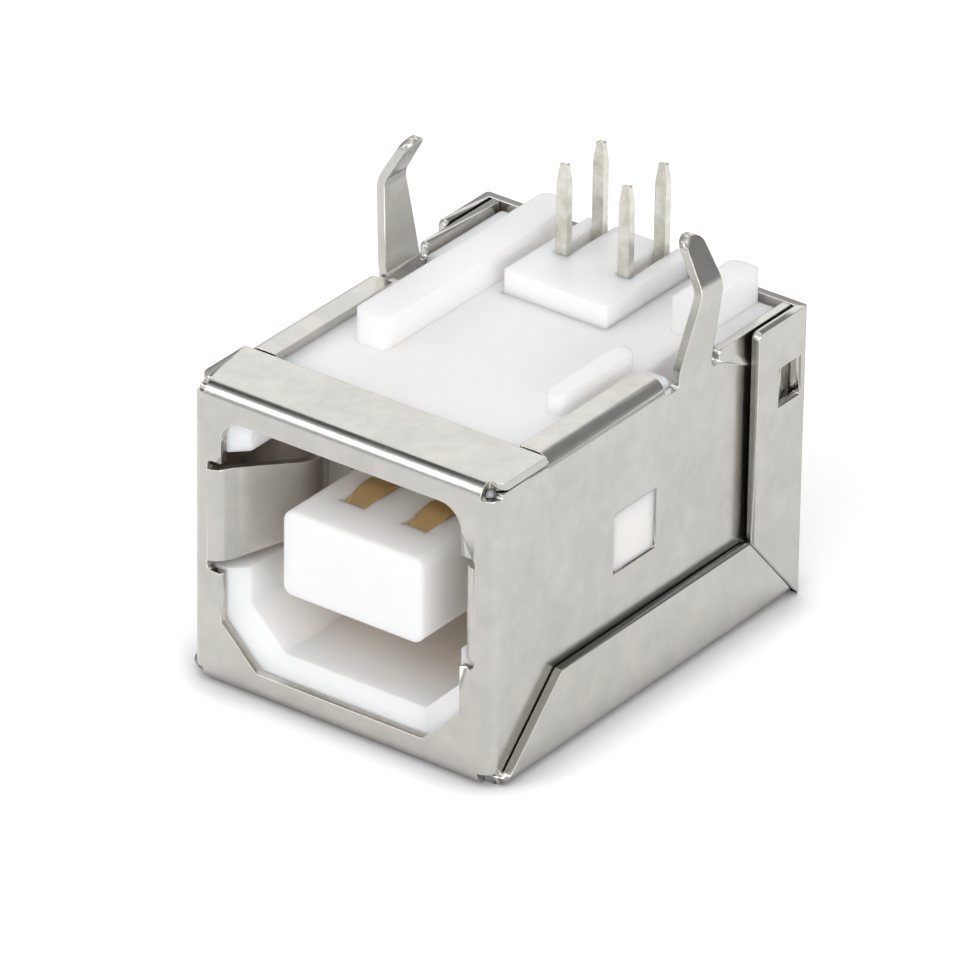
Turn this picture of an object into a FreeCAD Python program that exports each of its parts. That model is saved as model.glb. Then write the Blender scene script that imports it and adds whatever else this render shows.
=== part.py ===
import FreeCAD, Part
import math
import os

from FreeCAD import Vector

# Square USB-B board socket, pins up: X across, Y from the plug opening to the back,
# Z from the closed top plate (on the table) to the solder pins. Millimetres.
# Depths are given from the front plate; each piece is moved to the middle when it is saved.

# Shared small values
stamped_corner = 0.20
overlap = 0.20
cut_over = 1.00

# Folded metal shell
sheet = 0.30
fold_radius = 0.20
layer_gap = 0.05
shell_width = 12.04
shell_height = 10.95
shell_length = 16.50
lip_depth = 2.85
seam_gap = 0.12
rim_flange_width = 1.15
rim_flange_to_leg = 0.78
rear_edge_height = 10.78
back_flange_width = 2.70
back_corner = 0.12
lower_flange_height = 3.05
lower_flange_start = 0.55
lower_flange_slope = 2.85
mitre_gap = 0.08

# Opening in the front plate
socket_axis = 5.46
mouth_width = 9.60
mouth_height = 8.90
mouth_chamfer = 1.45
mouth_corner = 0.85

# Spring fingers at both sides of the opening
finger_width = 3.35
finger_middle = 6.22
finger_relief = 0.35
finger_root = 5.35
finger_fold_radius = 0.26
finger_knee = 5.02
finger_touch = 3.25
finger_touch_depth = 3.25
finger_touch_radius = 1.20
finger_tip = 4.05
finger_length = 4.75
finger_tip_width = 2.05

# Windows in the side walls, and the snap of the back plate
window_start = 6.55
window_length = 2.32
window_base = 5.00
window_height = 2.20
snap_window_length = 1.26
snap_window_height = 1.45
snap_window_base = 7.62
snap_window_inset = 0.30
snap_tab_length = 0.74
snap_tab_margin = 0.10
snap_tab_push = 0.28

# Board legs: the first size is from the back plate
leg_to_back = 4.72
leg_width = 1.80
leg_shoulder = 0.50
leg_tip_height = 15.27
leg_elbow_share = 0.553
leg_out_slope = 0.170
leg_in_slope = 0.570
leg_tip_round_share = 0.48
leg_bend_radius = 0.60
leg_taper = 0.17
leg_tip_taper = 0.26
leg_edge_radius = 1.50
leg_notch_width = 0.42
leg_front_notch = 0.75
leg_notch_depth = 0.45
leg_notch_round_share = 0.40

# Moulded insulator
housing_gap = 0.06
housing_round = 0.25
seat_height = 11.75
cavity_width = 8.45
cavity_height = 7.78
cavity_chamfer = 1.40
cavity_corner = 0.30
cavity_end_wall = 1.90
lead_in = 0.52
tongue_width = 5.60
tongue_height = 3.10
tongue_recess = 0.60
tongue_round = 0.40
tongue_front_round = 0.20
pocket_margin = 0.28
pocket_top_margin = 0.66
pocket_length = 6.10
boss_gap = 0.05
chamber_length = 4.20
chamber_base = 2.60
chamber_ledge = 0.25
leg_pocket_depth = 0.90
leg_pocket_width = 0.90
leg_pocket_gap = 0.30

# Standing ribs that carry the socket on its board
rib_round = 0.35
rib_width = 1.30
rib_inset = 2.60
rib_front = 5.75
rear_rib_width = 1.20
rear_rib_inset = 3.70
rear_rib_to_back = 3.95
low_rib_width = 0.75
low_rib_inset = 3.70
low_rib_length = 4.10
low_rib_step = 0.50

# Pin spacer, a comb that slides in from the back
spacer_width = 4.14
spacer_to_back = 5.10
spacer_step = 0.35
spacer_depth = 1.60
spacer_gap = 0.05
spacer_slot_width = 0.56
spacer_round = 0.12

# Contacts
contact_pitch = 2.50
front_pins_to_back = 2.90
pin_row_pitch = 2.00
contact_sheet = 0.30
contact_width = 1.00
contact_gap = 0.03
contact_touch_depth = 4.10
contact_touch_rise = 0.10
contact_touch_radius = 1.00
contact_knee_offset = 0.60
contact_ramp_length = 3.00
contact_ramp_radius = 3.00
contact_tip_depth = 2.30
contact_tip_sink = 0.35
contact_beam_sink = 0.12
contact_fold_radius = 0.35
pin_width = 0.43
pin_shoulder = 1.60
pin_shoulder_slope = 0.40
pin_tip_height = 14.68
pin_taper_length = 1.50
pin_tip_share = 0.45
pin_tip_round_share = 0.80

PLANES = {
    "xy": (Vector(1, 0, 0), Vector(0, 1, 0), Vector(0, 0, 1)),
    "xz": (Vector(1, 0, 0), Vector(0, 0, 1), Vector(0, 1, 0)),
    "yz": (Vector(0, 1, 0), Vector(0, 0, 1), Vector(1, 0, 0)),
}


def in_space(plane, point):
    across, up, _ = PLANES[plane]
    return across * point.x + up * point.y


def extruded(plane, edges, start, end):
    """Solid between two levels of a plane, from the closed outline of its edges."""
    normal = PLANES[plane][2]
    face = Part.Face(Part.Wire(edges))
    face.translate(normal * start)
    return face.extrude(normal * (end - start))


def line(plane, start, end):
    """Straight edge as a list, empty where both ends meet."""
    if (end - start).Length < 1e-6:
        return []
    return [Part.makeLine(in_space(plane, start), in_space(plane, end))]


def arc(plane, start, middle, end):
    return Part.Arc(in_space(plane, start), in_space(plane, middle), in_space(plane, end)).toShape()


def unit(vector):
    return vector * (1.0 / vector.Length)


def outline(plane, corners):
    """Closed outline through corners given as (u, v) or (u, v, radius)."""
    points = [Vector(corner[0], corner[1], 0) for corner in corners]
    radii = [corner[2] if len(corner) > 2 else 0.0 for corner in corners]
    count = len(points)
    arcs = []
    for index, point in enumerate(points):
        before = unit(points[index - 1] - point)
        after = unit(points[(index + 1) % count] - point)
        radius = radii[index]
        if radius <= 0:
            arcs.append((point, None, point))
            continue
        half = before.getAngle(after) / 2
        reach = radius / math.tan(half)
        centre = point + unit(before + after) * (radius / math.sin(half))
        middle = centre + unit(point - centre) * radius
        arcs.append((point + before * reach, middle, point + after * reach))
    edges = []
    for index, (start, middle, end) in enumerate(arcs):
        if middle is not None:
            edges.append(arc(plane, start, middle, end))
        edges += line(plane, end, arcs[(index + 1) % count][0])
    return edges


def prism(plane, corners, start, end):
    return extruded(plane, outline(plane, corners), start, end)


def slab(plane, u0, u1, v0, v1, start, end, radius=0.0):
    corners = [(u0, v0, radius), (u1, v0, radius), (u1, v1, radius), (u0, v1, radius)]
    return prism(plane, corners, start, end)


def right_of(direction):
    return Vector(direction.y, -direction.x, 0)


def folded(plane, path, start, end, thickness=sheet, radius=fold_radius, radii=None):
    """Folded sheet of one thickness, whose left-hand face follows the path."""
    points = [Vector(u, v, 0) for u, v in path]
    last = len(points) - 1
    steps = [unit(points[index + 1] - points[index]) for index in range(last)]
    left_edges = []
    right_edges = []
    left_from = points[0]
    right_from = points[0] + right_of(steps[0]) * thickness
    start_cap = (right_from, left_from)
    for index in range(1, last):
        ahead = steps[index - 1]
        onward = steps[index]
        inner = radii[index - 1] if radii else radius
        turn = ahead.x * onward.y - ahead.y * onward.x
        half = ahead.getAngle(onward) / 2
        side = 1.0 if turn < 0 else -1.0
        left_radius = inner + thickness if turn < 0 else inner
        right_radius = inner if turn < 0 else inner + thickness
        reach = left_radius * math.tan(half)
        left_in = points[index] - ahead * reach
        left_out = points[index] + onward * reach
        centre = left_in + right_of(ahead) * (side * left_radius)
        aim = unit(points[index] - centre)
        right_in = left_in + right_of(ahead) * thickness
        right_out = left_out + right_of(onward) * thickness
        left_edges += line(plane, left_from, left_in)
        left_edges.append(arc(plane, left_in, centre + aim * left_radius, left_out))
        right_edges += line(plane, right_from, right_in)
        right_edges.append(arc(plane, right_in, centre + aim * right_radius, right_out))
        left_from = left_out
        right_from = right_out
    left_end = points[last]
    right_end = left_end + right_of(steps[-1]) * thickness
    left_edges += line(plane, left_from, left_end)
    right_edges += line(plane, right_from, right_end)
    caps = line(plane, *start_cap) + line(plane, left_end, right_end)
    return extruded(plane, Part.sortEdges(caps + left_edges + right_edges)[0], start, end)


def mirrored(shape):
    return shape.mirror(Vector(0, 0, 0), Vector(1, 0, 0))


def both_sides(shape):
    return [shape, mirrored(shape)]


def joined(shapes):
    return shapes[0].fuse(shapes[1:]).removeSplitter()


# Places that follow from the sizes

leg_rear = shell_length - leg_to_back
leg_front = leg_rear - leg_width
leg_elbow_front = leg_front + leg_shoulder
leg_elbow_height = seat_height + (leg_tip_height - seat_height) * leg_elbow_share
notch_round = leg_notch_width * leg_notch_round_share
notch_floor = rear_edge_height - leg_notch_depth
leg_root_height = notch_floor + 2 * notch_round
chamber_start = shell_length - chamber_length
cavity_depth = chamber_start - cavity_end_wall
front_pin_row = shell_length - front_pins_to_back
spacer_front = shell_length - spacer_to_back

# Shell

fold_outer = fold_radius + sheet
wall_outer = shell_width / 2
wall_inner = wall_outer - sheet
flange_outer = wall_outer + layer_gap + sheet
wall_foot = sheet + layer_gap
wall_rear = shell_length - sheet - layer_gap
back_flange_start = shell_length - back_flange_width


def front_and_lip():
    half = wall_outer - fold_outer
    path = [(fold_outer, 0), (0, 0), (0, shell_height), (lip_depth, shell_height)]
    plate = folded("yz", path, -half, half)
    lip_path = [(fold_outer, shell_height), (lip_depth, shell_height)]
    lip = folded("yz", lip_path, -wall_outer, wall_outer)
    return [plate, lip]


def bottom_and_back():
    half = flange_outer - fold_outer
    path = [(shell_length, rear_edge_height), (shell_length, 0), (fold_outer, 0)]
    return folded("yz", path, -half, half)


def front_corner():
    path = [(wall_outer, 2 * fold_outer), (wall_outer, 0), (wall_outer - 2 * fold_outer, 0)]
    return folded("xy", path, fold_outer, shell_height - fold_outer)


def side_wall():
    """Flat wall with its upper edge: under the lip, root of the rim flange, leg notches, rear edge."""
    rim_root = shell_height - fold_outer
    under_lip = shell_height - sheet - layer_gap
    notch_front = leg_front - leg_front_notch
    notch_rear = leg_rear + leg_notch_width
    flange_start = lip_depth + seam_gap
    corners = [
        (fold_outer, wall_foot),
        (wall_rear, wall_foot),
        (wall_rear, rear_edge_height),
        (notch_rear, rear_edge_height, notch_round),
        (notch_rear, notch_floor, notch_round),
        (leg_rear, notch_floor, notch_round),
        (leg_rear, leg_root_height),
        (leg_front, leg_root_height),
        (leg_front, notch_floor, notch_round),
        (notch_front, notch_floor, notch_round),
        (notch_front, rim_root),
        (flange_start, rim_root),
        (flange_start, under_lip),
        (fold_outer, under_lip),
    ]
    return prism("yz", corners, wall_inner, wall_outer)


def rim_flange():
    rim_root = shell_height - fold_outer
    inner_edge = wall_outer - rim_flange_width
    path = [(inner_edge, shell_height), (wall_outer, shell_height), (wall_outer, rim_root - sheet)]
    return folded("xz", path, lip_depth + seam_gap, leg_front - rim_flange_to_leg)


def board_leg():
    """Kinked leg: out to its elbow, then in to a rounded tip."""
    above_tip = leg_tip_height + sheet
    elbow = wall_outer + (leg_elbow_height - leg_root_height) * leg_out_slope
    end = elbow - (above_tip - leg_elbow_height) * leg_in_slope
    path = [
        (end, above_tip),
        (elbow, leg_elbow_height),
        (wall_outer, leg_root_height),
        (wall_outer, leg_root_height - 2 * sheet),
    ]
    strip = folded("xz", path, leg_front - cut_over, leg_rear + cut_over, radius=leg_bend_radius)
    tip_rear = leg_rear - leg_tip_taper
    tip_front = leg_elbow_front + leg_taper
    tip_radius = (tip_rear - tip_front) * leg_tip_round_share
    mask = [
        (leg_front, leg_root_height - sheet),
        (leg_rear, leg_root_height - sheet),
        (leg_rear - leg_taper, leg_elbow_height, leg_edge_radius),
        (tip_rear, leg_tip_height, tip_radius),
        (tip_front, leg_tip_height, tip_radius),
        (leg_elbow_front, leg_elbow_height, leg_edge_radius),
        (leg_front, leg_root_height + sheet),
    ]
    return strip.common(prism("yz", mask, 0, wall_outer + cut_over))


def lower_flange():
    path = [(flange_outer, lower_flange_height), (flange_outer, 0), (flange_outer - 2 * fold_outer, 0)]
    strip = folded("xz", path, 0, shell_length)
    mask = [
        (lower_flange_start, -cut_over),
        (lower_flange_start, fold_outer / 2),
        (lower_flange_start + lower_flange_slope, lower_flange_height),
        (back_flange_start - mitre_gap, lower_flange_height),
        (shell_length - mitre_gap, 0),
        (shell_length - mitre_gap, -cut_over),
    ]
    return strip.common(prism("yz", mask, 0, flange_outer + cut_over))


def back_flange():
    flange_inner = flange_outer - sheet
    back_inner = shell_length - sheet
    corners = [
        (flange_outer - 2 * fold_outer, shell_length),
        (flange_outer, shell_length, back_corner),
        (flange_outer, back_flange_start),
        (flange_inner, back_flange_start),
        (flange_inner, back_inner),
        (flange_outer - 2 * fold_outer, back_inner),
    ]
    strip = prism("xy", corners, 0, rear_edge_height)
    mask = [
        (back_flange_start, lower_flange_height),
        (shell_length, 0),
        (shell_length + cut_over, 0),
        (shell_length + cut_over, rear_edge_height),
        (back_flange_start, rear_edge_height, stamped_corner),
    ]
    return strip.common(prism("yz", mask, 0, flange_outer + cut_over))


def spring_finger():
    """Tapered strip folded in from the opening's edge, bowed towards the plug."""
    half = finger_width / 2
    tip_half = finger_tip_width / 2
    tip_slope = (finger_tip - finger_touch) / (finger_length - finger_touch_depth)
    path = [
        (finger_root + fold_outer, 0),
        (finger_knee, 0),
        (finger_touch, finger_touch_depth),
        (finger_tip + tip_slope * sheet, finger_length + sheet),
    ]
    radii = [finger_fold_radius, finger_touch_radius]
    strip = folded("xy", path, finger_middle - half, finger_middle + half, radii=radii)
    taper_start = finger_fold_radius + sheet
    mask = [
        (-cut_over, finger_middle - half),
        (taper_start, finger_middle - half),
        (finger_length, finger_middle - tip_half, stamped_corner),
        (finger_length, finger_middle + tip_half, stamped_corner),
        (taper_start, finger_middle + half),
        (-cut_over, finger_middle + half),
    ]
    return strip.common(prism("yz", mask, 0, shell_width))


def snap_tab():
    """Tab cut in the wall and pushed out into the window of the back plate's flange."""
    front = shell_length - snap_window_inset - snap_window_length + snap_tab_margin
    rear = front + snap_tab_length
    corners = [(wall_inner, rear), (wall_outer, rear), (wall_outer + snap_tab_push, front),
               (wall_inner + snap_tab_push, front)]
    base = snap_window_base + snap_tab_margin
    top = snap_window_base + snap_window_height - snap_tab_margin
    hole = slab("yz", front, rear, base, top, wall_inner - cut_over, wall_outer + layer_gap / 2)
    return hole, prism("xy", corners, base, top)


def mouth_cut():
    """Hole in the front plate, with chamfers at its lower corners and reliefs at the fingers."""
    half = mouth_width / 2
    low = socket_axis - mouth_height / 2
    high = socket_axis + mouth_height / 2
    corners = [
        (-half + mouth_chamfer, low, stamped_corner),
        (half - mouth_chamfer, low, stamped_corner),
        (half, low + mouth_chamfer, stamped_corner),
        (half, high, mouth_corner),
        (-half, high, mouth_corner),
        (-half, low + mouth_chamfer, stamped_corner),
    ]
    through = sheet + layer_gap / 2
    mouth = prism("xz", corners, -cut_over, through)
    reach = finger_width / 2 + finger_relief
    relief = slab("xz", 0, finger_root, finger_middle - reach, finger_middle + reach,
                  -cut_over, through, radius=stamped_corner)
    return [mouth] + both_sides(relief)


def make_shell():
    snap_hole, tab = snap_tab()
    window = slab("yz", window_start, window_start + window_length,
                  window_base, window_base + window_height, wall_inner - cut_over, wall_outer + layer_gap / 2)
    snap_start = shell_length - snap_window_inset - snap_window_length
    snap_window = slab("yz", snap_start, snap_start + snap_window_length,
                       snap_window_base, snap_window_base + snap_window_height,
                       wall_outer + layer_gap / 2, flange_outer + cut_over)
    sides = []
    for piece in (front_corner(), side_wall(), rim_flange(), board_leg(), lower_flange(), back_flange()):
        sides += both_sides(piece)
    body = joined(front_and_lip() + [bottom_and_back()] + sides)
    cuts = mouth_cut()
    for cut in (window, snap_hole, snap_window):
        cuts += both_sides(cut)
    body = body.cut(cuts)
    return joined([body] + both_sides(spring_finger()) + both_sides(tab))


# Insulator

housing_half = wall_inner - housing_gap
housing_front = sheet + layer_gap
housing_rear = shell_length - sheet - housing_gap
housing_floor = shell_height - sheet - housing_gap
housing_foot = sheet + housing_gap
spacer_top = seat_height - spacer_step
spacer_foot = spacer_top - spacer_depth


def cavity_outline(grow):
    half = cavity_width / 2 + grow
    low = socket_axis - cavity_height / 2 - grow
    high = socket_axis + cavity_height / 2 + grow
    return outline("xz", [
        (-half + cavity_chamfer, low, stamped_corner),
        (half - cavity_chamfer, low, stamped_corner),
        (half, low + cavity_chamfer, stamped_corner),
        (half, high, cavity_corner),
        (-half, high, cavity_corner),
        (-half, low + cavity_chamfer, stamped_corner),
    ])


def plug_cavity():
    hollow = extruded("xz", cavity_outline(0), housing_front - cut_over, cavity_depth)
    wide = Part.Wire(cavity_outline(lead_in))
    wide.translate(Vector(0, housing_front, 0))
    narrow = Part.Wire(cavity_outline(0))
    narrow.translate(Vector(0, housing_front + lead_in, 0))
    return [hollow, Part.makeLoft([wide, narrow], True, True)]


def tongue():
    half = tongue_width / 2
    rise = tongue_height / 2
    body = slab("xz", -half, half, socket_axis - rise, socket_axis + rise,
                tongue_recess, cavity_depth + overlap, radius=tongue_round)
    rim = [edge for edge in body.Edges if edge.BoundBox.YMax < tongue_recess + 1e-3]
    return body.makeFillet(tongue_front_round, rim)


def finger_pocket():
    half = finger_width / 2
    return slab("yz", housing_front - cut_over, pocket_length,
                finger_middle - half - pocket_margin, finger_middle + half + pocket_top_margin,
                cavity_width / 2 - overlap, housing_half + cut_over)


def window_boss():
    """Boss that fills a side window of the shell, nearly flush with it."""
    return slab("yz", window_start + boss_gap, window_start + window_length - boss_gap,
                window_base + boss_gap, window_base + window_height - boss_gap,
                housing_half - overlap, wall_outer - boss_gap, radius=stamped_corner)


def tail_chamber():
    half = spacer_width / 2 + spacer_gap
    rear = housing_rear + cut_over
    upper = slab("xy", -half, half, spacer_front - spacer_gap, rear, spacer_foot, seat_height + cut_over)
    narrow = half - chamber_ledge
    lower = slab("xy", -narrow, narrow, chamber_start, rear, chamber_base, spacer_foot + overlap)
    return [upper, lower]


def leg_pocket():
    return slab("xy", housing_half - leg_pocket_width, housing_half + cut_over,
                leg_front, leg_rear + leg_pocket_gap,
                housing_floor - leg_pocket_depth, housing_floor + cut_over)


def standing_ribs():
    """Long rib at the left; low rib in front of the right leg and a full one behind it."""
    foot = housing_floor - overlap
    left = slab("xy", -rib_inset - rib_width, -rib_inset, rib_front, housing_rear, foot, seat_height,
                radius=rib_round)
    rear = slab("xy", rear_rib_inset, rear_rib_inset + rear_rib_width,
                shell_length - rear_rib_to_back, housing_rear, foot, seat_height, radius=rib_round)
    low = slab("xy", low_rib_inset, low_rib_inset + low_rib_width, rib_front, rib_front + low_rib_length,
               foot, seat_height - low_rib_step, radius=rib_round)
    return [left, rear, low]


def contact_slots():
    """Grooves on both faces of the tongue and slots through the cavity's end wall."""
    half = contact_width / 2 + contact_gap
    cuts = []
    for across in (-contact_pitch / 2, contact_pitch / 2):
        for side in (-1, 1):
            face = socket_axis + side * tongue_height / 2
            deep = face - side * (contact_sheet + contact_beam_sink + contact_gap)
            tip_deep = deep - side * contact_tip_sink
            out = face + side * cut_over
            low, high = sorted((deep, out))
            cuts.append(slab("xz", across - half, across + half, low, high,
                             contact_tip_depth - contact_gap, cavity_depth))
            low, high = sorted((tip_deep, out))
            cuts.append(slab("xz", across - half, across + half, low, high,
                             contact_tip_depth - contact_gap, contact_touch_depth))
            beam_top = face - side * (contact_beam_sink - contact_gap)
            low, high = sorted((deep, beam_top))
            cuts.append(slab("xz", across - half, across + half, low, high,
                             cavity_depth - overlap, chamber_start + overlap))
    return cuts


def make_housing():
    block = slab("xz", -housing_half, housing_half, housing_foot, housing_floor, housing_front, housing_rear)
    block = block.makeFillet(housing_round, block.Edges)
    body = block.cut(plug_cavity() + both_sides(finger_pocket()))
    body = joined([body, tongue()] + both_sides(window_boss()) + standing_ribs())
    return body.cut(tail_chamber() + both_sides(leg_pocket()) + contact_slots())


# Pin spacer

def make_spacer():
    half = spacer_width / 2
    rear = housing_rear - spacer_gap
    slot_start = front_pin_row - contact_sheet / 2 - contact_gap
    body = slab("xy", -half, half, spacer_front, rear, spacer_foot, spacer_top, radius=spacer_round)
    for across in (-contact_pitch / 2, contact_pitch / 2):
        slot = slab("xy", across - spacer_slot_width / 2, across + spacer_slot_width / 2,
                    slot_start, rear + cut_over, 0, seat_height + cut_over)
        body = body.cut(slot)
    return body


# Contacts

def make_contact(across, side):
    """Spring beam on the tongue, folded up at the back into a solder pin."""
    face = socket_axis + side * tongue_height / 2
    row = front_pin_row if side > 0 else front_pin_row + pin_row_pitch
    beam = face - side * contact_beam_sink
    touch = face + side * contact_touch_rise
    tip = face - side * contact_tip_sink
    pin_face = row - side * contact_sheet / 2
    path = [
        (contact_tip_depth, tip),
        (contact_touch_depth - contact_knee_offset, touch),
        (contact_touch_depth + contact_ramp_length, beam),
        (pin_face, beam),
        (pin_face, pin_tip_height),
    ]
    radii = [contact_touch_radius, contact_ramp_radius, contact_fold_radius]
    if side < 0:
        path.reverse()
        radii.reverse()
    strip = folded("yz", path, across - contact_width, across + contact_width,
                   thickness=contact_sheet, radii=radii)
    wide = contact_width / 2
    slim = pin_width / 2
    end = slim * pin_tip_share
    shoulder = max(beam, face) + pin_shoulder
    tip_round = end * pin_tip_round_share
    mask = [
        (across - wide, 0),
        (across + wide, 0),
        (across + wide, shoulder - pin_shoulder_slope),
        (across + slim, shoulder),
        (across + slim, pin_tip_height - pin_taper_length),
        (across + end, pin_tip_height, tip_round),
        (across - end, pin_tip_height, tip_round),
        (across - slim, pin_tip_height - pin_taper_length),
        (across - slim, shoulder),
        (across - wide, shoulder - pin_shoulder_slope),
    ]
    thin = contact_sheet / 2
    point = thin * pin_tip_share
    spread = 2 * thin - point
    spread_height = pin_tip_height - 2 * pin_taper_length
    point_round = point * pin_tip_round_share
    side_mask = [
        (0, 0),
        (shell_length, 0),
        (shell_length, spread_height),
        (row + spread, spread_height),
        (row + point, pin_tip_height, point_round),
        (row - point, pin_tip_height, point_round),
        (row - spread, spread_height),
        (0, spread_height),
    ]
    strip = strip.common(prism("xz", mask, 0, shell_length))
    return strip.common(prism("yz", side_mask, -shell_width, shell_width))


def save(name, shape):
    """One file for each piece, with the origin under the middle of the shell."""
    solids = shape.Solids
    body = solids[0] if len(solids) == 1 else shape
    body.translate(Vector(0, -shell_length / 2, 0))
    body.exportStep("parts/" + name + ".step")
    print(name, len(solids), "solid", round(shape.Volume, 3), "mm3", "valid", shape.isValid())


os.makedirs("parts", exist_ok=True)
save("shell", make_shell())
save("housing", make_housing())
save("pin_spacer", make_spacer())
number = 1
for side in (1, -1):
    for across in (-contact_pitch / 2, contact_pitch / 2):
        save("contact_" + str(number), make_contact(across, side))
        number += 1
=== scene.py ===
import math

import bmesh
import bpy
from mathutils import Matrix, Vector


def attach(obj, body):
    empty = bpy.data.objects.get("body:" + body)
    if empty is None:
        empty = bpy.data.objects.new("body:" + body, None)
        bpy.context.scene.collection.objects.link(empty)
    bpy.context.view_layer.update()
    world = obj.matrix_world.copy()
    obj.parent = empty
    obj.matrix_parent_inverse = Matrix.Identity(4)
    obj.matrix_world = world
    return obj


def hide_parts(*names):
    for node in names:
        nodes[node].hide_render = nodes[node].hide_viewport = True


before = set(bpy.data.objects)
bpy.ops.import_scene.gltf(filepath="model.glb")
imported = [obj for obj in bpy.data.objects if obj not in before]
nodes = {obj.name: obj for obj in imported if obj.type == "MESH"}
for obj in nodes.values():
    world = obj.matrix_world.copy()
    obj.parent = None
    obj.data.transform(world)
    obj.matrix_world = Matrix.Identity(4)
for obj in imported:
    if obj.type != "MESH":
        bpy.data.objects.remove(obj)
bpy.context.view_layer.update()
millimetre = 0.001


# Camera: where the picture was taken from, roll in degrees about the line of sight
cameraSetup = {
    "azimuth": 36.337,
    "elevation": 29.106,
    "roll": 0.77,
    "distance": 345.0,
    "target": (-0.378, -0.25, 5.669),
    "focalPixels": 10647.0,
    "picturePixels": 960.0,
}


def direction(azimuth, elevation):
    az = math.radians(azimuth)
    el = math.radians(elevation)
    return Vector((math.sin(az) * math.cos(el), -math.cos(az) * math.cos(el), math.sin(el)))


def makeCamera(setup):
    roll = math.radians(setup["roll"])
    back = direction(setup["azimuth"], setup["elevation"])
    right = Vector((-back.y, back.x, 0)).normalized()
    up = back.cross(right)
    rolledRight = right * math.cos(roll) + up * math.sin(roll)
    rolledUp = up * math.cos(roll) - right * math.sin(roll)
    data = bpy.data.cameras.new("pictureCamera")
    data.lens = setup["focalPixels"] / setup["picturePixels"] * data.sensor_width
    data.clip_start = 0.01
    data.clip_end = 10.0
    camera = bpy.data.objects.new("pictureCamera", data)
    bpy.context.scene.collection.objects.link(camera)
    turn = Matrix((rolledRight, rolledUp, back)).transposed()
    place = (Vector(setup["target"]) + back * setup["distance"]) * millimetre
    camera.matrix_world = Matrix.Translation(place) @ turn.to_4x4()
    bpy.context.scene.camera = camera


makeCamera(cameraSetup)
print("camera placed")


# Shader maths: a socket with Python's operators
class Wire:
    def __init__(self, graph, socket):
        self.graph = graph
        self.socket = socket

    def maths(self, operation, *others):
        return self.graph.node("ShaderNodeMath", {"operation": operation}, self, *others)

    def __add__(self, other):
        return self.maths("ADD", other)

    def __radd__(self, other):
        return self.maths("ADD", other)

    def __sub__(self, other):
        return self.maths("SUBTRACT", other)

    def __rsub__(self, other):
        return self.graph.node("ShaderNodeMath", {"operation": "SUBTRACT"}, other, self)

    def __mul__(self, other):
        return self.maths("MULTIPLY", other)

    def __rmul__(self, other):
        return self.maths("MULTIPLY", other)


bevelSamples = 6


# Node tree of a material or world; node() makes any node from its settings and socket values
class Graph:
    def __init__(self, name, world=False):
        self.owner = bpy.data.worlds.new(name) if world else bpy.data.materials.new(name)
        self.owner.use_nodes = True
        self.tree = self.owner.node_tree
        self.tree.nodes.clear()
        self.output = self.tree.nodes.new("ShaderNodeOutputWorld" if world else "ShaderNodeOutputMaterial")

    def node(self, kind, settings=None, *values, out=0, **named):
        made = self.tree.nodes.new(kind)
        for key, value in (settings or {}).items():
            setattr(made, key, value)
        for index, value in enumerate(values):
            self.plug(made.inputs[index], value)
        for key, value in named.items():
            self.plug(made.inputs[key.replace("_", " ")], value)
        return Wire(self, made.outputs[out])

    def plug(self, socket, value):
        if isinstance(value, Wire):
            self.tree.links.new(value.socket, socket)
        elif value is not None:
            if socket.type == "RGBA" and len(value) < 4:
                value = (*value, 1.0)
            socket.default_value = value

    def place(self):
        return self.node("ShaderNodeTexCoord", out=3)  # Object coordinates, in metres

    def part(self, vector, axis):
        return self.node("ShaderNodeSeparateXYZ", None, vector, out="XYZ".index(axis))

    def rounded(self, radius):
        return self.node("ShaderNodeBevel", {"samples": bevelSamples}, radius * millimetre)

    def noise(self, size, detail=2.0, rough=0.5, stretch=None):
        point = self.place()  # the size of the noise is in millimetres
        if stretch:
            point = self.node("ShaderNodeVectorMath", {"operation": "MULTIPLY"}, point, stretch)
        return self.node("ShaderNodeTexNoise", None, point, Scale=1.0 / (size * millimetre), Detail=detail,
                         Roughness=rough)

    def ramp(self, value, low, high, start=0.0, stop=1.0):
        return self.node("ShaderNodeMapRange", None, value, low, high, start, stop)

    def mix(self, factor, first, second):
        made = self.tree.nodes.new("ShaderNodeMix")
        made.data_type = "RGBA"
        self.plug(made.inputs[0], factor)
        self.plug(made.inputs[6], first)
        self.plug(made.inputs[7], second)
        return Wire(self, made.outputs[2])

    def finish(self, shader):
        self.tree.links.new(shader.socket, self.output.inputs[0])
        return self.owner


# Nickel plated sheet: satin and mottled, speckled along its folds; its edges are painted paler, partly a
# burnished shear edge and partly a painted highlight
sheetFinish = {
    "colour": (0.58, 0.563, 0.528),
    "worn": (0.515, 0.503, 0.47),
    # edge: pale colour along the edges, partly burnished metal and partly a painted highlight
    "edge": (0.88, 0.86, 0.81),
    "roughness": 0.22,
    "roughnessSpread": 0.16,
    "grainSpread": 0.14,
    "edgeRadius": 0.05,
    "bumpHeight": 0.0022,
    "bumpStrength": 0.4,
    "foldSpeckle": 2.6,
}


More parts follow.
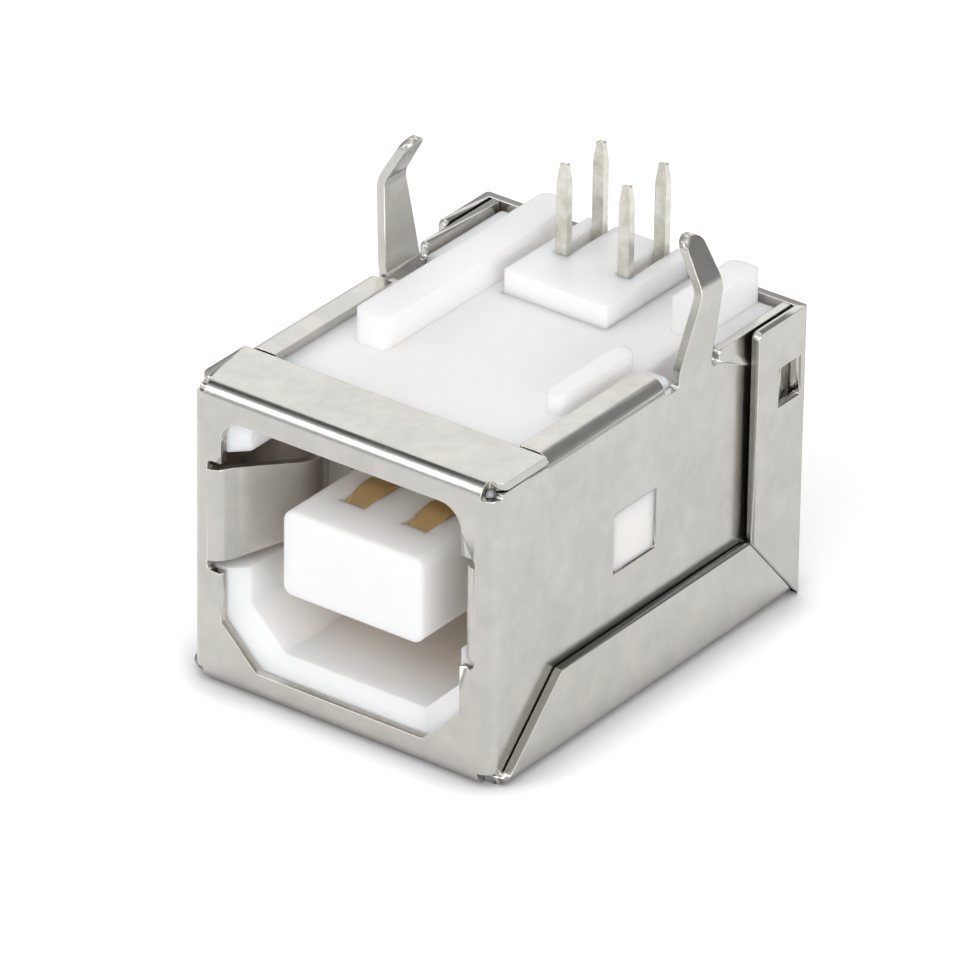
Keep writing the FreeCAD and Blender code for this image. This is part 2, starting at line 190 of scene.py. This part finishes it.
def makeSheetMetal(finish):
    g = Graph("platedSheet")
    cloud = g.noise(1.7, 4.0, 0.6)
    blotch = g.noise(0.55, 3.0, 0.6)
    grain = g.noise(0.085, 3.0, 0.65)
    drawn = g.noise(0.20, 2.0, 0.5, stretch=(1.0, 0.14, 1.0))
    rounded = g.rounded(finish["edgeRadius"])
    flat = g.node("ShaderNodeNewGeometry", out=1)
    agree = g.node("ShaderNodeVectorMath", {"operation": "DOT_PRODUCT"}, rounded, flat, out=1)
    edge = g.ramp(agree, 0.90, 0.995, 1.0, 0.0)  # 1 along cut edges
    straight = g.node("ShaderNodeVectorMath", {"operation": "ABSOLUTE"}, flat)
    sideways = g.part(straight, "X").maths("MAXIMUM", g.part(straight, "Y"))
    most = sideways.maths("MAXIMUM", g.part(straight, "Z"))
    fold = g.ramp(most, 0.995, 0.96)  # 1 where the sheet faces none of the three axes
    patchy = g.ramp(cloud * 0.6 + blotch * 0.4, 0.38, 0.62)
    colour = g.mix(patchy, finish["colour"], finish["worn"])
    # Painted highlight, partly a real burnished edge: the pale edge colour goes where the rounded normal
    # leaves the flat one
    colour = g.mix(edge, colour, finish["edge"])
    rough = finish["roughness"] + (cloud - 0.5) * finish["roughnessSpread"]
    rough = rough + (grain - 0.5) * finish["grainSpread"]
    height = grain * (0.7 + fold * finish["foldSpeckle"]) + drawn * 0.8 + blotch * 1.6 + cloud * 2.0
    bump = g.node("ShaderNodeBump", None, Strength=finish["bumpStrength"],
                  Distance=finish["bumpHeight"] * millimetre, Height=height, Normal=rounded)
    shader = g.node("ShaderNodeBsdfPrincipled", None, Base_Color=colour, Metallic=1.0, Roughness=rough,
                    Normal=bump)
    return g.finish(shader)


# White moulded plastic: spark-eroded skin; the warm light bounced in the plug cavity is painted into its
# colour there, warmer and darker: painted bounce light and shade
plasticFinish = {
    "colour": (0.955, 0.94, 0.94),
    "shade": (0.94, 0.925, 0.92),
    # painted warm shade for light bounced deep inside the plug cavity
    "cavity": (0.92, 0.87, 0.825),
    "cavityFrom": 0.9,
    "cavityTo": 3.6,
    "cavityTop": 9.45,
    "cavityFade": 0.3,
    "roughness": 0.42,
    "cloudSpread": 0.08,
    "skinSpread": 0.10,
    "edgeRadius": 0.07,
    "bumpHeight": 0.003,
    "bumpStrength": 0.3,
    "scatter": 1.0,
    "scatterReach": (0.95, 0.85, 0.78),
}
frontPlane = -8.25  # the shell's front face


def makePlastic(finish):
    g = Graph("mouldedWhite")
    cloud = g.noise(1.8, 2.0, 0.5)
    skin = g.noise(0.09, 2.0, 0.6)
    rounded = g.rounded(finish["edgeRadius"])
    colour = g.mix(g.ramp(cloud, 0.35, 0.7), finish["colour"], finish["shade"])
    depthFrom = (frontPlane + finish["cavityFrom"]) * millimetre
    depthTo = (frontPlane + finish["cavityTo"]) * millimetre
    heightFrom = (finish["cavityTop"] + finish["cavityFade"]) * millimetre
    # Painted bounce light and shade: a mask that is 1 deep inside the plug cavity, below its roof
    deep = g.ramp(g.part(g.place(), "Y"), depthFrom, depthTo)
    inside = deep * g.ramp(g.part(g.place(), "Z"), heightFrom, finish["cavityTop"] * millimetre)
    colour = g.mix(inside, colour, finish["cavity"])
    rough = finish["roughness"] + (cloud - 0.5) * finish["cloudSpread"] + (skin - 0.5) * finish["skinSpread"]
    bump = g.node("ShaderNodeBump", None, Strength=finish["bumpStrength"],
                  Distance=finish["bumpHeight"] * millimetre, Height=skin, Normal=rounded)
    shader = g.node("ShaderNodeBsdfPrincipled", None, Base_Color=colour, Roughness=rough, IOR=1.5,
                    Normal=bump, Subsurface_Weight=finish["scatter"],
                    Subsurface_Radius=finish["scatterReach"], Subsurface_Scale=millimetre)
    return g.finish(shader)


# Contacts: gold flash on the beams, tin on the tails and pins
contactFinish = {
    "gold": (0.80, 0.62, 0.33),
    "tin": (0.80, 0.79, 0.735),
    "tinDull": (0.66, 0.64, 0.56),
    "tinFrom": 9.6,
    "tinFade": 0.2,
    "tinWander": 0.6,
    "goldRoughness": 0.24,
    "tinRoughness": 0.30,
    "grainSpread": 0.12,
    "edgeRadius": 0.05,
    "bumpHeight": 0.003,
    "bumpStrength": 0.4,
}


def makeContactMetal(finish):
    g = Graph("contactMetal")
    cloud = g.noise(0.5, 3.0, 0.6)
    grain = g.noise(0.08, 2.0, 0.5)
    edgeOfTin = g.part(g.place(), "Z") + (cloud - 0.5) * (finish["tinWander"] * millimetre)
    tin = g.ramp(edgeOfTin, (finish["tinFrom"] - finish["tinFade"]) * millimetre,
                 (finish["tinFrom"] + finish["tinFade"]) * millimetre)
    rounded = g.rounded(finish["edgeRadius"])
    tinColour = g.mix(g.ramp(cloud, 0.4, 0.62), finish["tin"], finish["tinDull"])
    colour = g.mix(tin, finish["gold"], tinColour)
    duller = finish["tinRoughness"] - finish["goldRoughness"]
    rough = finish["goldRoughness"] + tin * duller + (grain - 0.5) * finish["grainSpread"]
    bump = g.node("ShaderNodeBump", None, Strength=finish["bumpStrength"],
                  Distance=finish["bumpHeight"] * millimetre, Height=grain + cloud * 1.5, Normal=rounded)
    shader = g.node("ShaderNodeBsdfPrincipled", None, Base_Color=colour, Metallic=1.0, Roughness=rough,
                    Normal=bump)
    return g.finish(shader)


# Copies of CAD meshes that are reshaped here and stand in for their nodes
copying = {
    "weld": 1e-7,
    "sliver": 1e-8,
    "sharpAngle": 35.0,
}


def copyOf(node, name):
    mesh = nodes[node].data.copy()
    piece = bpy.data.objects.new(name, mesh)
    bpy.context.scene.collection.objects.link(piece)
    work = bmesh.new()
    work.from_mesh(mesh)
    bmesh.ops.remove_doubles(work, verts=work.verts, dist=copying["weld"])
    return piece, work


def finishCopy(piece, work, node):
    mesh = piece.data
    if "custom_normal" in mesh.attributes:
        mesh.attributes.remove(mesh.attributes["custom_normal"])
    bmesh.ops.dissolve_degenerate(work, dist=copying["sliver"], edges=work.edges)
    bmesh.ops.recalc_face_normals(work, faces=work.faces)
    for face in work.faces:
        face.smooth = True
    work.to_mesh(mesh)
    work.free()
    mesh.set_sharp_from_angle(angle=math.radians(copying["sharpAngle"]))
    weigh = piece.modifiers.new("flatFaces", "WEIGHTED_NORMAL")
    weigh.keep_sharp = True
    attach(piece, "root")
    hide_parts(node)


# Shell: finger roots that end in the flat of the front, round lip corners, back flanges a little proud
shellShape = {
    "rootEnd": 5.85,
    "flatEnd": 5.52,
    "cornerDepth": 0.13,
    "lipCorner": (6.02, 0.50),
    "lipHeight": 10.6,
    "lipCornerRadius": 0.32,
    "lipCornerSteps": 4,
    "flangeInner": 6.07,
    "flangeStart": 13.80,
    "flangeOut": 0.10,
    "mitreHeight": 3.05,
    "mitreSlack": 0.03,
    "shellEnd": 16.50,
    "tolerance": 0.005,
}


def near(value, target):
    return abs(value - target) < 0.004


# Millimetres from the middle (without sign), behind the front plane and above the floor
def spotOf(vert):
    x, y, z = vert.co
    return abs(x) / millimetre, y / millimetre - frontPlane, z / millimetre


def thinness(spots, axis):
    values = [spot[axis] for spot in spots]
    return max(values) - min(values)


# Takes away the caps of the finger roots that stand proud of the round corners, and closes the corners
def trimFingerRoots(work, shape):
    slack = shape["tolerance"]
    proud = set()
    for vert in work.verts:
        x, y, z = spotOf(vert)
        if near(x, shape["rootEnd"]) and near(y, 0):
            proud.add(vert)
    levels = sorted({round(spotOf(vert)[2], 3) for vert in proud})
    caps = []
    for face in work.faces:
        spots = [spotOf(vert) for vert in face.verts]
        inCorner = all(x > shape["flatEnd"] - slack and y < shape["cornerDepth"] for x, y, z in spots)
        capLike = thinness(spots, 0) < 2 * slack or thinness(spots, 2) < 2 * slack
        if inCorner and capLike and any(vert in proud for vert in face.verts):
            caps.append(face)
    bmesh.ops.delete(work, geom=caps, context="FACES_ONLY")
    for vert in proud:
        vert.co.x = math.copysign(shape["flatEnd"] * millimetre, vert.co.x)
    for side in (-1, 1):
        arcs = [[], []]
        for vert in work.verts:
            x, y, z = spotOf(vert)
            if vert in proud or vert.co.x * side < 0:
                continue
            if x < shape["flatEnd"] - slack or y > shape["cornerDepth"]:
                continue
            for arc, level in zip(arcs, levels):
                if near(z, level):
                    arc.append(vert)
        low, high = (sorted(arc, key=lambda vert: abs(vert.co.x)) for arc in arcs)
        for index in range(len(low) - 1):
            work.faces.new((low[index], low[index + 1], high[index + 1], high[index]))
    bmesh.ops.remove_doubles(work, verts=work.verts, dist=copying["weld"])


def roundLipCorners(work, shape):
    cornerX, cornerY = shape["lipCorner"]
    corners = []
    for edge in work.edges:
        spots = [spotOf(vert) for vert in edge.verts]
        if all(near(x, cornerX) and near(y, cornerY) and z > shape["lipHeight"] for x, y, z in spots):
            corners.append(edge)
    bmesh.ops.bevel(work, geom=corners, offset=shape["lipCornerRadius"] * millimetre,
                    segments=shape["lipCornerSteps"], profile=0.5, affect="EDGES")


def moveFlangesOut(work, shape):
    slack = shape["tolerance"]
    for vert in work.verts:
        x, y, z = spotOf(vert)
        mitre = shape["mitreHeight"] * (shape["shellEnd"] - y) / (shape["shellEnd"] - shape["flangeStart"])
        onFlange = x > shape["flangeInner"] - slack and y > shape["flangeStart"] - slack
        if onFlange and z > mitre - shape["mitreSlack"]:
            vert.co.x += math.copysign(shape["flangeOut"] * millimetre, vert.co.x)


def makeShellSkin(shape):
    piece, work = copyOf("shell", "shellSkin")
    trimFingerRoots(work, shape)
    roundLipCorners(work, shape)
    moveFlangesOut(work, shape)
    finishCopy(piece, work, "shell")
    return piece


# Pins: nearly parallel up to a short rounded tip
pinShape = {
    "pitch": 2.50,
    "rows": (5.35, 7.35),
    "taperFrom": 13.18,
    "tip": 14.68,
    "tipShare": 0.45,
    "straightTo": 13.85,
    "roundFrom": 14.52,
    "roundShare": 0.66,
    "roundPower": 1.5,
    "levels": (13.45, 13.70, 13.85, 14.05, 14.30, 14.52),
}


def makePinSkin(number, shape):
    node = "contact_" + str(number)
    piece, work = copyOf(node, "pinSkin_" + str(number))
    centreX = (number % 2 - 0.5) * -shape["pitch"]
    centreY = shape["rows"][0] if number < 3 else shape["rows"][1]
    for level in shape["levels"]:
        everything = [*work.verts, *work.edges, *work.faces]
        bmesh.ops.bisect_plane(work, geom=everything, dist=copying["sliver"],
                               plane_co=(0, 0, level * millimetre), plane_no=(0, 0, 1))
    length = shape["tip"] - shape["taperFrom"]
    for vert in work.verts:
        z = vert.co.z * 1000
        if z <= shape["taperFrom"] + 0.001:  # below the taper
            continue
        before = 1 - (1 - shape["tipShare"]) * (z - shape["taperFrom"]) / length
        along = (z - shape["straightTo"]) / (shape["roundFrom"] - shape["straightTo"])
        after = 1 - (1 - shape["roundShare"]) * min(max(along, 0), 1) ** shape["roundPower"]
        grow = after / before
        vert.co.x = (centreX + (vert.co.x * 1000 - centreX) * grow) * millimetre
        vert.co.y = (centreY + (vert.co.y * 1000 - centreY) * grow) * millimetre
    finishCopy(piece, work, node)
    return piece


shellSkin = makeShellSkin(shellShape)
pinSkins = [makePinSkin(number, pinShape) for number in range(1, 5)]
print("shapes done")


def dress(piece, material):
    mesh = piece.data
    if not mesh.materials:
        mesh.materials.append(material)
    for index in range(len(mesh.materials)):
        mesh.materials[index] = material


sheetMetal = makeSheetMetal(sheetFinish)
plastic = makePlastic(plasticFinish)
contactMetal = makeContactMetal(contactFinish)
for piece in (nodes["shell"], shellSkin):
    dress(piece, sheetMetal)
for piece in (nodes["housing"], nodes["pin_spacer"]):
    dress(piece, plastic)
for number in range(1, 5):
    dress(nodes["contact_" + str(number)], contactMetal)
    dress(pinSkins[number - 1], contactMetal)
print("materials done")


# Floor and light
studio = {
    "floorSize": 3.0,
    "floorColour": (0.93, 0.93, 0.935),
    "mottleSize": 40.0,
    "mottleShade": 0.99,
    # colour and reach in millimetres of the painted contact shadow on the floor
    "paintedShadowColour": (0.45, 0.45, 0.46),
    "paintedShadowReach": 1.6,
    "floorGlow": 0.27,
    "skyStrength": 0.60,
}

# Patches of the sky: degrees to the middle, the angles where each is full and ends, and its strength
skyPatches = {
    "lipPanel": {"azimuth": -144.0, "elevation": 31.0, "full": 16.0, "end": 28.0, "strength": 1.3},
    "leftFlag": {"azimuth": -106.0, "elevation": 57.0, "full": 12.0, "end": 22.0, "strength": 0.08},
    "overhead": {"azimuth": 0.0, "elevation": 88.0, "full": 12.0, "end": 28.0, "strength": 1.45},
    "backFlag": {"azimuth": 158.0, "elevation": 20.0, "full": 24.0, "end": 38.0, "strength": 0.32},
}


def makeFloor(setup):
    mesh = bpy.data.meshes.new("studioFloor")
    half = setup["floorSize"] / 2
    corners = [(-half, -half, 0), (half, -half, 0), (half, half, 0), (-half, half, 0)]
    mesh.from_pydata(corners, [], [(0, 1, 2, 3)])
    floor = bpy.data.objects.new("studioFloor", mesh)
    bpy.context.scene.collection.objects.link(floor)
    g = Graph("floorPaper")
    darker = tuple(setup["mottleShade"] * value for value in setup["floorColour"])
    colour = g.mix(g.noise(setup["mottleSize"]), setup["floorColour"], darker)
    # Painted contact shadow: the paper is painted grey beside the part, and its glow is dimmed there
    openness = g.node("ShaderNodeAmbientOcclusion", {"samples": 8}, None, setup["paintedShadowReach"] * millimetre,
                      out=1)  # darkens the paper beside the part
    colour = g.mix(g.ramp(openness, 0.35, 0.95), setup["paintedShadowColour"], colour)
    paper = g.node("ShaderNodeBsdfDiffuse", None, colour, 0.4)
    path = g.tree.nodes.new("ShaderNodeLightPath")
    seen = Wire(g, path.outputs["Is Camera Ray"])
    mirrored = Wire(g, path.outputs["Is Glossy Ray"])
    # the glow is dimmed beside the part as well, part of the painted contact shadow
    glow = g.node("ShaderNodeEmission", None, (1, 1, 1, 1), (seen + mirrored) * openness * setup["floorGlow"])
    mesh.materials.append(g.finish(g.node("ShaderNodeAddShader", None, paper, glow)))
    return floor


def makeWorld(setup, patches):
    g = Graph("studioWorld", world=True)
    towards = g.node("ShaderNodeTexCoord")
    strength = setup["skyStrength"]
    for patch in patches.values():
        middle = direction(patch["azimuth"], patch["elevation"])
        facing = g.node("ShaderNodeVectorMath", {"operation": "DOT_PRODUCT"}, towards, tuple(middle), out=1)
        inside = g.node("ShaderNodeMapRange", {"interpolation_type": "SMOOTHSTEP"}, facing,
                        math.cos(math.radians(patch["end"])), math.cos(math.radians(patch["full"])), 0.0, 1.0)
        strength = strength + inside * (patch["strength"] - setup["skyStrength"])
    sky = g.node("ShaderNodeBackground", None, (1, 1, 1, 1), strength)
    white = g.node("ShaderNodeBackground", None, (1, 1, 1, 1), 1.0)
    seen = g.node("ShaderNodeLightPath")
    bpy.context.scene.world = g.finish(g.node("ShaderNodeMixShader", None, seen, sky, white))


# Lamps: direction towards the lamp, distance and size in millimetres, radiance where white paper is 1
lamps = {
    "keySoftbox": {"azimuth": -42.0, "elevation": 33.0, "distance": 300.0, "size": 150.0, "radiance": 2.3},
    "sideSoftbox": {"azimuth": 60.0, "elevation": 11.0, "distance": 300.0, "size": 150.0, "radiance": 5.0},
    "frontSoftbox": {"azimuth": 18.0, "elevation": 34.0, "distance": 320.0, "size": 160.0, "radiance": 1.5},
}


lampAim = (0, 0, 0.006)


def makeLamp(name, setup):
    towards = direction(setup["azimuth"], setup["elevation"])
    data = bpy.data.lights.new(name, "AREA")
    data.shape = "SQUARE"
    data.size = setup["size"] * millimetre
    data.energy = setup["radiance"] * math.pi * data.size ** 2
    lamp = bpy.data.objects.new(name, data)
    bpy.context.scene.collection.objects.link(lamp)
    lamp.location = Vector(lampAim) + towards * setup["distance"] * millimetre
    lamp.rotation_mode = "QUATERNION"
    lamp.rotation_quaternion = towards.to_track_quat("Z", "Y")


makeFloor(studio)
makeWorld(studio, skyPatches)
for lampName, lampSetup in lamps.items():
    makeLamp(lampName, lampSetup)
bpy.context.scene.view_settings.view_transform = "Standard"
print("floor and light ready")
